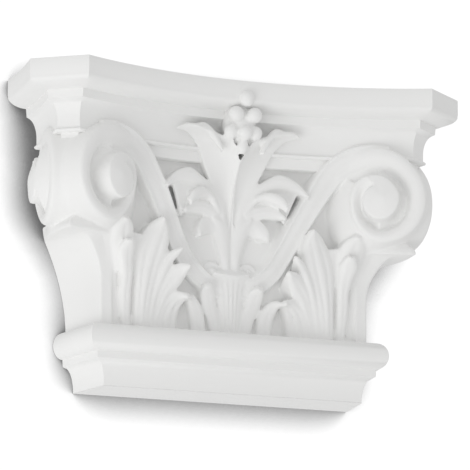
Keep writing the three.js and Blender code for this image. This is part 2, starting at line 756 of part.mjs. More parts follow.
const SIDE_LEAF = [
  // upper blade
  {
    rows: [
      [0.02, 0.58, 6, 0.07, 0.54, 5],
      [0.075, 0.74, 7, 0.1, 0.65, 6],
      [0.165, 0.825, 9, 0.155, 0.735, 8],
      [0.26, 0.875, 11, 0.22, 0.795, 10],
      [0.34, 0.905, 13, 0.31, 0.815, 12],
      [0.42, 0.89, 15, 0.41, 0.815, 14],
      [0.5, 0.85, 17, 0.49, 0.795, 16],
      [0.56, 0.785, 20, 0.55, 0.775, 20],
    ],
  },
  // curl below it
  {
    rows: [
      [0.09, 0.7, 7, 0.115, 0.655, 7],
      [0.145, 0.76, 10, 0.155, 0.71, 9],
      [0.2, 0.785, 14, 0.2, 0.745, 12],
      [0.27, 0.795, 18, 0.265, 0.74, 16],
      [0.35, 0.77, 21, 0.33, 0.715, 20],
      [0.395, 0.715, 22, 0.37, 0.68, 21],
    ],
    hangFrom: 0.4,
  },
  // middle blade
  {
    rows: [
      [0.03, 0.55, 6, 0.065, 0.52, 5],
      [0.09, 0.665, 7, 0.11, 0.59, 6],
      [0.17, 0.715, 9, 0.15, 0.64, 7],
      [0.25, 0.73, 10, 0.24, 0.655, 9],
      [0.34, 0.715, 12, 0.33, 0.655, 11],
      [0.395, 0.67, 15, 0.39, 0.65, 14],
    ],
    belly: 1.5,
  },
  // ground under the blades
  {
    rows: [
      [0.05, 0.7, 4.5, 0.085, 0.5, 3.5],
      [0.18, 0.79, 7, 0.16, 0.6, 5],
      [0.3, 0.84, 9, 0.24, 0.66, 6],
      [0.4, 0.84, 11, 0.35, 0.68, 8],
      [0.49, 0.815, 15, 0.4, 0.63, 8],
    ],
    belly: 1,
    hangFrom: 1.1,
  },
];

const CUP_SIDE = {
  rows: [
    [0.1, -0.05, 3, 4],
    [0.135, 0.09, 4, 5],
    [0.17, 0.17, 5, 6],
    [0.19, 0.235, 8, 6],
    [0.2, 0.26, 13, 3],
  ],
  crown: 2,
  groove: 0.8,
};

const CUP = {
  rows: [
    [0, -0.05, 3, 8],
    [0, 0.14, 3.5, 9.5],
    [0, 0.25, 4, 12],
    [0, 0.32, 5, 15],
    [0, 0.343, 8, 15],
  ],
  crown: 3,
};

const STRAND = {
  rows: [
    [0.03, 0.3, 3.5, 3],
    [0.04, 0.42, 4, 4],
    [0.058, 0.52, 4.5, 6],
    [0.09, 0.6, 6, 6],
    [0.15, 0.65, 7, 2],
  ],
  crown: 2.5,
};

const SIDE_FLAP = {
  rows: [
    [0.04, 0.5, 4, 3],
    [0.1, 0.585, 5, 5],
    [0.18, 0.605, 6, 7],
    [0.245, 0.57, 9, 5],
    [0.27, 0.53, 12, 1],
  ],
  crown: 2,
};

// The petals meet in a ridge in front. The first edge points outwards against the abacus.
const PETAL = {
  rows: [
    [0.032, 0.55, 5.5, -0.015, 0.53, 5.5],
    [0.065, 0.69, 8, -0.01, 0.69, 9],
    [0.125, 0.78, 9, -0.01, 0.79, 12],
    [0.195, 0.86, 11, -0.008, 0.87, 17],
    [0.25, 0.945, 13, -0.003, 0.93, 23],
    [0.305, 1.025, 16, 0.015, 0.965, 26],
    [0.39, 1.08, 19, 0.04, 1, 29],
    [0.51, 1.095, 22, 0.08, 1.05, 33],
  ],
  belly: -3,
  hangFrom: 0.45,
  top: [
    [0, 0],
    [0.27, 6],
    [0.45, 7.5],
    [0.6, 3],
    [0.73, -4.5],
    [0.82, -9],
    [0.9, -5],
    [1, 0],
  ],
};

function ornament() {
  const half = [
    volute(frontFace),
    volute(sideFace),
    horn(),
    cornerLeaf(),
    stem(),
    snail(BASE_HALF * 0.14, CUP_Z + 4),
    ...[...FAN, ...LOW_LEAF, ...SIDE_LEAF, PETAL].map(blade),
    ...[CUP_SIDE, STRAND, SIDE_FLAP].map(lobe),
    bud(7.5, 2.7, 26, 6.3),
    bud(10, 6.7, 39, 5.6),
  ];
  const middle = [
    lobe(CUP),
    bud(0, -0.3, 14, 5.8, 1.1),
    bud(0, 2.7, 40, 5.6),
    bud(0, 7.7, 49, 4.2, 1.7),
    bud(0, 15.7, 32, 13, 1.4),
  ];
  return [...half, ...half.map(mirrorX), ...middle];
}

const group = new THREE.Group();
function addMesh(name, solid) {
  const mesh = solid.getMesh();
  const geometry = new THREE.BufferGeometry();
  geometry.setAttribute("position", new THREE.BufferAttribute(new Float32Array(mesh.vertProperties), 3));
  geometry.setIndex(new THREE.BufferAttribute(new Uint32Array(mesh.triVerts), 1));
  geometry.computeVertexNormals();
  const material = new THREE.MeshStandardMaterial({ color: 0xf1f0ec, roughness: 0.55, metalness: 0 });
  const made = new THREE.Mesh(geometry, material);
  made.name = name;
  group.add(made);
}

// Everything behind the wall is cut away.
const wall = new THREE.BoxGeometry(2 * WIDTH, WIDTH, 2 * HEIGHT);
wall.translate(0, WIDTH / 2, HEIGHT / 2);

const whole = [abacus(), base(), bell(), ...ornament()].reduce((a, b) => a.add(b)).subtract(solidFrom(wall));
addMesh("capital", whole);
group.position.y = DEPTH / 2;

export default group;
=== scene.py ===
# %% [markdown]
# # A corinthian pilaster capital, dressed for the camera
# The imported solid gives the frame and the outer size. This script makes the same casting again with
# finer carving: crisp mouldings, and leaves, stems and volutes fused into one skin.
# Lengths are in millimetres until a mesh is made. The wall is at y = 0 and the front faces -Y.

import math

import bmesh
import bpy
import numpy as np
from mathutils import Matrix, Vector


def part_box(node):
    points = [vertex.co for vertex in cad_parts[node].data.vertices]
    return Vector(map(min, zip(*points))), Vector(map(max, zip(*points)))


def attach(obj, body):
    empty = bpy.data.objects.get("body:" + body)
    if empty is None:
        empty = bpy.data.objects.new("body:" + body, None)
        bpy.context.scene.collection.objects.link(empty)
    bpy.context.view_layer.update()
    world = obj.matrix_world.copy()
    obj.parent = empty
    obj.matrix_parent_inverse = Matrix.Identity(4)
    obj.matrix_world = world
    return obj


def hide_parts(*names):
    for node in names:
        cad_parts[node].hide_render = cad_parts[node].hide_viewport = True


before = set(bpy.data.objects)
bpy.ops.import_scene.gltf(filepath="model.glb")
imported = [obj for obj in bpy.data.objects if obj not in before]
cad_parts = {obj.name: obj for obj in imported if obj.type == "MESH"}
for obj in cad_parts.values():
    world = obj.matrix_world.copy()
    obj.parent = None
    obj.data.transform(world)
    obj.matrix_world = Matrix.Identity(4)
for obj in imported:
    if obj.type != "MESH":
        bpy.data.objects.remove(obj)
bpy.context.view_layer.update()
low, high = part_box("capital")
MM = 0.001
WALL_Y = high[1] / MM
WIDTH = (high[0] - low[0]) / MM
DEPTH = (high[1] - low[1]) / MM
HEIGHT = high[2] / MM
print("capital", round(WIDTH, 1), "wide", round(DEPTH, 1), "deep", round(HEIGHT, 1), "high")

# %% [markdown]
# ## Driving sizes
# The same values as in the solid, worked out from the photo.

# %% Driving sizes
# Abacus: its plan, then its mouldings from the top down.
CHAMFER_X = 36.0
CHAMFER_Y = 29.4
FRONT_SAG = 33.0
SIDE_RADIUS = 530.0
SIDE_MIDDLE_Y = 27.0
FASCIA_H = 13.0
OVOLO_IN = 15.0
OVOLO_H = 8.4
FILLET_H = 7.0
CAVETTO_IN = 8.2
CAVETTO_H = 15.5
NECK_H = 5.5
BEAD_H = 3.0
BEAD_OUT = 1.8
LIP_H = 8.5
LIP_IN = 4.0

# Base moulding, and the body that stands on it.
BASE_HALF = 106.4
BASE_HALF_AT_WALL = 113.7
BASE_DEPTH = 44.4
BASE_CAVETTO_H = 19.0
BASE_CAVETTO_OUT = 6.5
BASE_FILLET_OUT = 8.6
BASE_FILLET_H = 6.2
TORUS_OUT = 16.2
TORUS_H = 20.5
BODY_OUT = 3.4

# Bell behind the carving.
BELL_IN = 5.4
BELL_FRONT = 33.0
BELL_LIP_IN = 7.0
BELL_FLARE = 24.0
ROOT_DEPTH = 5.0

# Volutes: eye of the front face, the coil, then eye of the side face.
EYE_X = 112.7
EYE_Y = 72.3
EYE_Z = 154.4
FACE_TURN = math.radians(27.3)
VOLUTE_THICK = 46.0
SLOPE_OUT = 28.0
COIL_RISE = 12.0
GROOVE_DEPTH = 9.5
SUNK_START = 3.0
SIDE_EYE_X = 151.0
SIDE_EYE_Y = 36.0
SIDE_TURN = math.radians(10.0)

# Tip and lip of the corner leaf, and the hollow of the horn between two volutes.
TIP_X = 143.0
TIP_Y = 67.0
TIP_Z = 114.5
LIP_THICK = 4.8
HORN_HOLLOW = 4.0

# Cup in the middle, and the stems and snails that rise from it.
CUP_Z = 92.0
CUP_HALF = 13.0
STEM_WIDTH = 16.0
STEM_SLOPE = 7.0
STEM_WIDTH_AT_VOLUTE = 21.0
SNAIL_R = 7.5

# Worked out from the sizes above.
ABACUS_H = FASCIA_H + OVOLO_H + FILLET_H + CAVETTO_H + NECK_H + BEAD_H
BASE_H = BASE_CAVETTO_H + BASE_FILLET_H + TORUS_H
BELL_TOP = HEIGHT - ABACUS_H
HALF = WIDTH / 2

# Pieces run this far past the wall plane, where they are cut off flat.
PAST_WALL = 8.0
# Rounding of the crisp edges, and the steps of a quarter round.
SOFT = 0.5
QUARTER_STEPS = 10
# How the carving is fused, and the angle from which an edge is shaded sharp.
VOXEL = 0.9
SOFTEN_STEPS = 5
CARVING_TRIANGLES = 170000
SHARP_ANGLE = math.radians(38)

# Radius of the outer edge of the scroll, by turns clockwise from the top of the right-hand volute.
SCROLL = np.array([
    (-0.16, 51), (-0.05, 43.5), (0, 41.6), (0.11, 36), (0.24, 33.6), (0.44, 33), (0.52, 33.4),
    (0.63, 29), (0.72, 26), (0.86, 23.9), (0.95, 19.7), (1.04, 15.8), (1.12, 13.2), (1.33, 13.3),
    (1.52, 17), (1.62, 17), (1.72, 15.6), (1.82, 13.6), (1.92, 10.5),
])
SCROLL_START = SCROLL[0, 0]
SCROLL_END = SCROLL[-1, 0]

# %% [markdown]
# ## Small helpers

# %% Small helpers
def lerp(a, b, t):
    return a + (b - a) * t


def smoothstep(x, a, b):
    t = np.clip((x - a) / (b - a), 0, 1)
    return t * t * (3 - 2 * t)


def v3(x, y, z):
    return np.array([x, y, z], float)


def unit(v):
    return v / np.linalg.norm(v)


def spline(points, t):
    """A smooth curve through the points, for t from 0 to 1."""
    points = np.asarray(points, float)
    k = len(points) - 1
    i = min(int(t * k), k - 1)
    s = t * k - i
    before = points[i - 1] if i > 0 else 2 * points[0] - points[1]
    after = points[i + 2] if i + 2 <= k else 2 * points[k] - points[k - 1]
    a, b = points[i], points[i + 1]
    return 0.5 * (
        2 * a + (b - before) * s + (2 * before - 5 * a + 4 * b - after) * s**2
        + (3 * a - before - 3 * b + after) * s**3
    )


def smooth_value(table, at):
    """A smooth value between the rows of a table."""
    i = int(np.clip(np.searchsorted(table[:, 0], at) - 1, 0, len(table) - 2))
    share = (at - table[i, 0]) / (table[i + 1, 0] - table[i, 0])
    return spline(table[:, 1:], (i + np.clip(share, 0, 1)) / (len(table) - 1))[0]


# %% [markdown]
# ## Solids from rings
# A solid is a pair: points and faces. Rings of equal length are joined into a closed skin.

# %% Solids from rings
def ring_solid(rings):
    """A closed skin over rings of equal length, capped at both ends."""
    rings = np.asarray(rings, float)
    count, n = rings.shape[:2]
    faces = [
        (i * n + j, i * n + (j + 1) % n, (i + 1) * n + (j + 1) % n, (i + 1) * n + j)
        for i in range(count - 1)
        for j in range(n)
    ]
    faces.append(tuple(range(n))[::-1])
    faces.append(tuple(range((count - 1) * n, count * n)))
    return rings.reshape(-1, 3), faces


def mirrored(solid):
    points, faces = solid
    return points * (-1, 1, 1), [f[::-1] for f in faces]


def make_object(name, solids):
    """One object from some solids, each turned so that its faces point outwards."""
    made = bmesh.new()
    for points, faces in solids:
        part = bmesh.new()
        placed = (points + (0, WALL_Y, 0)) * MM
        verts = [part.verts.new(p) for p in placed]
        for face in faces:
            part.faces.new([verts[k] for k in face])
        bmesh.ops.triangulate(part, faces=part.faces)
        bmesh.ops.recalc_face_normals(part, faces=part.faces)
        if part.calc_volume(signed=True) < 0:
            bmesh.ops.reverse_faces(part, faces=part.faces)
        mesh = bpy.data.meshes.new("part")
        part.to_mesh(mesh)
        part.free()
        made.from_mesh(mesh)
        bpy.data.meshes.remove(mesh)
    mesh = bpy.data.meshes.new(name)
    made.to_mesh(mesh)
    made.free()
    obj = bpy.data.objects.new(name, mesh)
    bpy.context.scene.collection.objects.link(obj)
    return obj


def apply_modifiers(obj):
    bpy.context.view_layer.update()
    shape = obj.evaluated_get(bpy.context.evaluated_depsgraph_get())
    mesh = bpy.data.meshes.new_from_object(shape)
    old = obj.data
    obj.modifiers.clear()
    obj.data = mesh
    bpy.data.meshes.remove(old)


def combine(obj, other, operation):
    """Adds another closed shape to obj, or cuts it away, and removes the other object."""
    step = obj.modifiers.new("combine", "BOOLEAN")
    step.operation = operation
    step.solver = "MANIFOLD"
    step.object = other
    apply_modifiers(obj)
    bpy.data.objects.remove(other)


# %% [markdown]
# ## Abacus
# Its plan has a hollow front, cut corners and nearly straight sides. The same plan, moved inwards,
# gives every moulding below it.

# %% Abacus
def line_on_circle(centre, radius, p, d):
    """Where the line through p along d meets the circle, on the side nearer to p."""
    f = p - centre
    a, b = d @ d, f @ d
    root = math.sqrt(b * b - a * (f @ f - radius * radius))
    t = min(((-b - root) / a, (-b + root) / a), key=abs)
    return p + d * t


def abacus_plan(inset, arc_steps=96, side_steps=12):
    """The plan from the right end at the wall round to the left one, moved inwards by inset."""
    corner_x = HALF - CHAMFER_X
    radius = (corner_x**2 + FRONT_SAG**2) / (2 * FRONT_SAG) + inset
    front = np.array([0, -DEPTH + FRONT_SAG - radius + inset])
    along = unit(np.array([CHAMFER_X, CHAMFER_Y]))
    inwards = np.array([-along[1], along[0]]) * inset
    front_end = line_on_circle(front, radius, np.array([corner_x, -DEPTH]) + inwards, along)
    reach = math.sqrt(SIDE_RADIUS**2 - (SIDE_MIDDLE_Y + DEPTH - CHAMFER_Y) ** 2)
    side = np.array([HALF + reach, SIDE_MIDDLE_Y])
    side_radius = SIDE_RADIUS + inset
    side_corner = np.array([HALF, -DEPTH + CHAMFER_Y]) + inwards
    side_end = line_on_circle(side, side_radius, side_corner, along)
    right = []
    for i in range(side_steps):
        y = lerp(PAST_WALL, side_end[1], i / side_steps)
        right.append((side[0] - math.sqrt(side_radius**2 - (y - side[1]) ** 2), y))
    right.append(tuple(side_end))
    sweep = math.asin(front_end[0] / radius)
    for i in range(arc_steps // 2):
        a = sweep * (1 - 2 * i / arc_steps)
        right.append((radius * math.sin(a), front[1] + radius * math.cos(a)))
    left = [(-x, y) for x, y in right][::-1]
    return right + [(0, front[1] + radius)] + left


def level(plan, z):
    return [(x, y, z) for x, y in plan]


def quarter(steps=QUARTER_STEPS):
    """Angles of a quarter turn, without its first."""
    return [math.pi / 2 * i / steps for i in range(1, steps + 1)]


def abacus():
    """Rows of its profile: depth below the top, and distance inwards."""
    profile = [(0, 0.6), (0.25, 0.15), (0.8, 0), (FASCIA_H - SOFT, 0), (FASCIA_H, 0.3)]
    for a in quarter():
        profile.append((FASCIA_H + OVOLO_H * math.sin(a), OVOLO_IN * (1 - math.cos(a))))
    fillet_end = FASCIA_H + OVOLO_H + FILLET_H
    profile.append((fillet_end - SOFT, OVOLO_IN + SOFT))
    for a in quarter():
        step_in = OVOLO_IN + SOFT + CAVETTO_IN * math.sin(a)
        profile.append((fillet_end + CAVETTO_H * (1 - math.cos(a)), step_in))
    neck_in = OVOLO_IN + SOFT + CAVETTO_IN
    bead_top = fillet_end + CAVETTO_H + NECK_H
    profile.append((bead_top, neck_in))
    bead_steps = 8
    for i in range(1, bead_steps):
        a = math.pi * i / bead_steps
        bulge = neck_in - BEAD_OUT * math.sin(a)
        profile.append((bead_top + BEAD_H * (1 - math.cos(a)) / 2, bulge))
    profile.append((bead_top + BEAD_H, neck_in))
    return ring_solid([level(abacus_plan(inset), HEIGHT - down) for down, inset in profile])


# %% [markdown]
# ## Base moulding and bell

# %% Base moulding and bell
def base_plan(out):
    front = -(BASE_DEPTH + out)
    slope = (BASE_HALF_AT_WALL - BASE_HALF) / BASE_DEPTH
    back = BASE_HALF_AT_WALL + out + slope * PAST_WALL
    corner = [(BASE_HALF + out, front + SOFT), (BASE_HALF + out - SOFT, front)]
    right = [(back, PAST_WALL)] + corner
    left = [(-x, y) for x, y in right][::-1]
    return right + left


def base():
    """Rows of its profile: height, and distance out from the shaft below."""
    profile = [(0, 0.4), (0.4, 0)]
    for a in quarter():
        profile.append((BASE_CAVETTO_H * math.sin(a), BASE_CAVETTO_OUT * (1 - math.cos(a))))
    profile.append((BASE_CAVETTO_H + 0.6, BASE_FILLET_OUT - 0.6))
    profile.append((BASE_CAVETTO_H + 0.9, BASE_FILLET_OUT - 0.1))
    profile.append((BASE_CAVETTO_H + BASE_FILLET_H, BASE_FILLET_OUT))
    middle = BASE_H - TORUS_H / 2
    span = TORUS_OUT - BASE_FILLET_OUT
    torus_steps = 20
    for i in range(1, torus_steps):
        a = math.pi * (i / torus_steps - 0.5)
        profile.append((middle + TORUS_H / 2 * math.sin(a), BASE_FILLET_OUT + span * math.cos(a)))
    profile.append((BASE_H - 0.6, BODY_OUT + 3))
    profile.append((BASE_H, BODY_OUT))
    return ring_solid([level(base_plan(out), z) for z, out in profile])


def bell():
    neck = abacus_plan(OVOLO_IN + CAVETTO_IN + LIP_IN + BELL_LIP_IN)
    top_front = -neck[len(neck) // 2][1]
    foot_bow, top_bow = 3, 15
    front_flare, wall_step = 8, 9
    rings = []
    for h in np.linspace(0, 1, 12):
        grow = h**2.2
        half = BASE_HALF - BELL_IN + front_flare * grow
        wall_half = BASE_HALF - BELL_IN + wall_step + BELL_FLARE * math.sqrt(grow)
        plan = [(wall_half, PAST_WALL), (wall_half, 0)]
        for s in np.linspace(1, -1, 33):
            foot, top = BELL_FRONT + foot_bow * s * s, top_front + top_bow * s * s
            plan.append((half * s, -lerp(foot, top, grow)))
        plan += [(-wall_half, 0), (-wall_half, PAST_WALL)]
        rings.append(level(plan, lerp(BASE_H - 3, BELL_TOP + 2, h)))
    return ring_solid(rings)


def bell_lip():
    inset = OVOLO_IN + CAVETTO_IN + LIP_IN
    heights = [(-LIP_H, 1.2), (-LIP_H + 0.5, 0.3), (-LIP_H + 1.3, 0), (1, 0)]
    return ring_solid([level(abacus_plan(inset + more), BELL_TOP + z) for z, more in heights])


# %% [markdown]
# ## Volutes
# Each band of the scroll is sewn to the next turn, so the coil steps up towards the eye.

# %% Volutes
def face_frame(x, y, turn, on_side):
    """A function that places a point u across, w up and h out of a volute's face, from its eye."""
    c, s = math.cos(turn), math.sin(turn)
    across = v3(s, -c, 0) if on_side else v3(c, -s, 0)
    out = v3(c, s, 0) if on_side else v3(-s, -c, 0)
    eye = v3(x, -y, EYE_Z)
    return lambda u, w, h: eye + across * u + out * h + v3(0, 0, w)


front_face = face_frame(EYE_X, EYE_Y, FACE_TURN, False)
side_face = face_frame(SIDE_EYE_X, SIDE_EYE_Y, SIDE_TURN, True)


def edge_height(turn):
    """How far the coil has stepped up at this turn."""
    return COIL_RISE * float(smoothstep(turn, 0.45, 1.2))


def scroll_point(turn, share):
    """A point across the band: share 0 is its outer edge, share 1 the edge of the next turn."""
    outer = smooth_value(SCROLL, turn)
    inner = outer * 0.5 if turn + 1 > SCROLL_END else smooth_value(SCROLL, turn + 1)
    start = 1 - float(smoothstep(turn, SCROLL_START, SCROLL_START + 0.16))
    rise = edge_height(turn) - SUNK_START * start
    fade = smoothstep(turn, -0.2, 0.25) * (1 - 0.7 * smoothstep(turn, 0.35, 0.8))
    depth = GROOVE_DEPTH * float(fade)
    flat = 1 - float(smoothstep(turn, 0.75, SCROLL_END - 1))
    radius = lerp(outer, inner, share)
    band = 1.6 * flat * math.sin(math.pi * min(share / 0.5, 1.0)) * (1 if share < 0.5 else 0)
    groove = depth * flat * float(smoothstep(share, 0.5, 0.8))
    soft = 1.5 * (1 - min(share / 0.06, 1)) ** 2
    angle = 2 * math.pi * turn
    return radius * math.sin(angle), radius * math.cos(angle), rise + band - groove - soft


def volute(place, steps=72):
    """One coil, its domed eye, and a skirt down to its back, placed by a face frame."""
    shares = list(np.linspace(0, 0.12, 5)) + list(np.linspace(0.18, 0.94, 14))
    last = int(math.floor((SCROLL_END - SCROLL_START) * steps))
    bands = last - steps
    points, known = [], {}

    def number(i, j):
        """Index of the point at step i and share j, which is made when it is first asked for."""
        if j == len(shares):
            return number(i + steps, 0)
        if (i, j) not in known:
            known[(i, j)] = len(points)
            points.append(place(*scroll_point(SCROLL_START + i / steps, shares[j])))
        return known[(i, j)]

    faces = [
        (number(i, j), number(i, j + 1), number(i + 1, j + 1), number(i + 1, j))
        for i in range(bands)
        for j in range(len(shares))
    ]
    loop = [number(i, 0) for i in range(bands, last)]
    loop += [number(bands, j) for j in range(len(shares), 0, -1)]
    heart = place(0, 0, COIL_RISE)
    rows = [loop]
    for share in (0.25, 0.5, 0.75):
        rows.append(list(range(len(points), len(points) + len(loop))))
        dome = 1.4 * math.sin(math.pi / 2 * share)
        points.extend([
            lerp(points[k], heart, share) + place(0, 0, dome) - place(0, 0, 0) for k in loop
        ])
    top = len(points)
    points.append(heart + place(0, 0, 1.6) - place(0, 0, 0))
    for outer, inner in zip(rows, rows[1:]):
        for k in range(len(loop)):
            m = (k + 1) % len(loop)
            faces.append((outer[k], inner[k], inner[m], outer[m]))
    faces += [(rows[-1][k], top, rows[-1][(k + 1) % len(loop)]) for k in range(len(loop))]
    edge = [number(i, 0) for i in range(steps + 1)]
    edge += [number(0, j) for j in range(len(shares) - 1, 0, -1)]
    where = [(SCROLL_START + i / steps, 0.0) for i in range(steps + 1)]
    where += [(SCROLL_START, shares[j]) for j in range(len(shares) - 1, 0, -1)]
    hub = len(points)
    points.append(place(0, 0, -VOLUTE_THICK))
    upper = edge
    for share_down in (0.25, 0.5, 1.0):
        lower = []
        for turn, share in where:
            u, w, _ = scroll_point(turn, share)
            flare = SLOPE_OUT * float(smoothstep(turn, 0.46, 0.66)) if share == 0 else 0
            grow = 1 + flare * min(1, 2 * share_down) ** 0.8 / math.hypot(u, w)
            lower.append(len(points))
            points.append(place(u * grow, w * grow, -VOLUTE_THICK * share_down))
        for k in range(len(edge)):
            m = (k + 1) % len(edge)
            faces.append((upper[k], upper[m], lower[m], lower[k]))
        upper = lower
    for k in range(len(edge)):
        faces.append((hub, upper[k], upper[(k + 1) % len(edge)]))
    return np.array(points), faces


def horn():
    """The hollow strip round the corner, from the front volute to the side volute."""
    hub = lerp(front_face(0, 0, -VOLUTE_THICK), side_face(0, 0, -VOLUTE_THICK), 0.5)
    rings = []
    for turn in np.linspace(0, 0.5, 40):
        u, w, _ = scroll_point(turn, 0)
        front, side = front_face(u, w, -1), side_face(u, w, -1)
        arc = []
        for t in np.linspace(0, 1, 13):
            p = lerp(front, side, t)
            inwards = unit(v3(hub[0], hub[1], p[2]) - p)
            arc.append(p + inwards * 4 * HORN_HOLLOW * t * (1 - t))
        inner = [lerp(v3(hub[0], hub[1], EYE_Z), arc[k], 0.3) for k in (12, 6, 0)]
        rings.append(arc + inner)
    return ring_solid(rings)


# %% [markdown]
# ## Corner leaves
# A plain leaf wraps each corner below the volutes and turns out into a pointed lip.

# %% Corner leaves
# Corner of the leaf where it stands on the base: distance from the middle and from the wall.
LEAF_FOOT = (BASE_HALF + BODY_OUT, BASE_DEPTH + BODY_OUT - 0.8)
# Each row: share of the height up to the tip, and share of the lean out to the tip.
LEAF_LEVELS = np.array([
    (-0.1, 0), (0.45, 0), (0.65, 0.05), (0.77, 0.15), (0.87, 0.27), (0.945, 0.4), (0.985, 0.55),
    (0.998, 0.78), (1, 1),
])


def leaf_ring(z, lean, up):
    """One level of the leaf: round its corner from front to wall, then behind."""
    foot = LEAF_FOOT
    corner = v3(lerp(foot[0], TIP_X, lean), -lerp(foot[1], TIP_Y, lean), z)
    front = v3(foot[0] - 9, -lerp(foot[1], foot[1] + 5, lean), z)
    side = v3(foot[0] + 10.5 + 17 * max(0, up) ** 1.8, 0, z)

    def arc(a, b, bow, shares):
        across = b - a
        out = unit(v3(across[1], -across[0], 0))
        return [lerp(a, b, t) - out * bow * math.sin(math.pi * t) for t in shares]

    first = arc(front, corner, lerp(0.3, -3, lean), np.linspace(0, 0.9, 10))
    second = arc(corner, side, lerp(0.6, -5, lean), np.linspace(0, 1, 16))
    behind = [v3(side[0], PAST_WALL, z), v3(foot[0] - 25, PAST_WALL, z), v3(foot[0] - 20, -20, z)]
    return first + second + behind


def corner_leaf():
    rise = TIP_Z - BASE_H
    rings = []
    for k in np.linspace(0, 1, 33):
        up, lean = spline(LEAF_LEVELS, k)
        rings.append(leaf_ring(BASE_H + up * rise, float(np.clip(lean, 0, 1)), up))
    rings.append(leaf_ring(TIP_Z + LIP_THICK * 0.5, 1.0, 1.02))
    rings.append(leaf_ring(TIP_Z + LIP_THICK, 0.97, 1.04))
    rings.append(leaf_ring(TIP_Z + LIP_THICK + 7, 0.75, 1.07))
    return ring_solid(rings)


# %% [markdown]
# ## Leaves, lobes and stalks
# A lobe follows a spine over the bell. Each row of a lobe is: share of the base's half width, share
# of the bell's height, height over the bell, half width. The last row is its curled tip.
# A blade is spanned between two edges. Each row of a blade is a point of its first edge and a point
# of its second edge, written in the same three values.

# %% Leaves, lobes and stalks
def on_bell(x, z, above):
    return v3(x * BASE_HALF, -BELL_FRONT - above, lerp(BASE_H, BELL_TOP, z))


def lobe(rows, crown=2.0, groove=0.0, folds=0, tip_thick=4.0, hang_from=0.8, steps=36,
         points_across=24):
    """A lobe along a spine. From the share hang_from on, its back leaves the bell and hangs free."""
    spine = [on_bell(x, z, above) for x, z, above, _ in rows]
    widths = [(w,) for *_, w in rows]
    rings = []
    across = None
    for t in np.linspace(0, 1, steps + 1):
        p = spline(spine, t)
        half = max(0.6, float(spline(widths, t)[0]))
        along = unit(spline(spine, min(t + 0.01, 1)) - spline(spine, max(t - 0.01, 0)))
        if across is None:
            across = np.cross(along, v3(0, -1, 0))
        across = unit(across - along * (across @ along))
        face = unit(np.cross(across, along))
        fade = math.sin(math.pi * min(1.0, 0.15 + t) ** 0.8)
        ring = []
        for v in np.linspace(-1, 1, points_across + 1):
            lift = crown * (1 - v * v) - groove * math.exp(-((v / 0.12) ** 2))
            if folds:
                lift += 0.8 * fade * math.cos(2 * math.pi * folds * v) * (1 - v**4)
            ring.append(p + across * v * half + face * lift)
        hang = float(smoothstep(t, hang_from, 1))
        for v in (1, 0.5, 0, -0.5, -1):
            rooted = p + across * v * (half + 1)
            rooted[1] = -BELL_FRONT + ROOT_DEPTH
            free = p + across * 0.85 * v * half - face * tip_thick
            ring.append(lerp(rooted, free, hang))
        rings.append(ring)
    return ring_solid(rings)


def blade(rows, belly=2.0, folds=0, fold_depth=0.9, top=((0, 0), (1, 0)), tip_thick=3.5,
          hang_from=0.75, steps=36, points_across=32):
    """A thin leaf between two edges. The list top says how far its end runs on, in mm, across it."""
    edges = [[on_bell(*row[:3]) for row in rows], [on_bell(*row[3:]) for row in rows]]
    at, runs_on = zip(*top)
    rings = []
    for t in np.linspace(0, 1, steps + 1):
        first, second = spline(edges[0], t), spline(edges[1], t)
        before = [spline(edge, max(t - 0.01, 0)) for edge in edges]
        after = [spline(edge, min(t + 0.01, 1)) for edge in edges]
        along = unit(sum(after) - sum(before))
        across = second - first
        face = unit(np.cross(along, across))
        face *= -np.sign(face[1])
        fade = math.sin(math.pi * min(1.0, 0.12 + 0.88 * t) ** 0.9)
        ring = []
        for v in np.linspace(0, 1, points_across + 1):
            lift = belly * 4 * v * (1 - v)
            if folds:
                lift -= fold_depth * fade * abs(math.cos(math.pi * (folds + 1) * v)) ** 6
            over = along * np.interp(v, at, runs_on) * t**4
            ring.append(first + across * v + face * lift + over)
        hang = float(smoothstep(t, hang_from, 1))
        for v in (1, 0.75, 0.5, 0.25, 0):
            rooted = first + across * v
            rooted[1] = -BELL_FRONT + ROOT_DEPTH
            over = along * np.interp(v, at, runs_on) * t**4
            under = belly * 4 * v * (1 - v) - tip_thick
            free = first + across * lerp(0.5, v, 0.85) + face * under + over
            ring.append(lerp(rooted, free, hang))
        rings.append(ring)
    return ring_solid(rings)


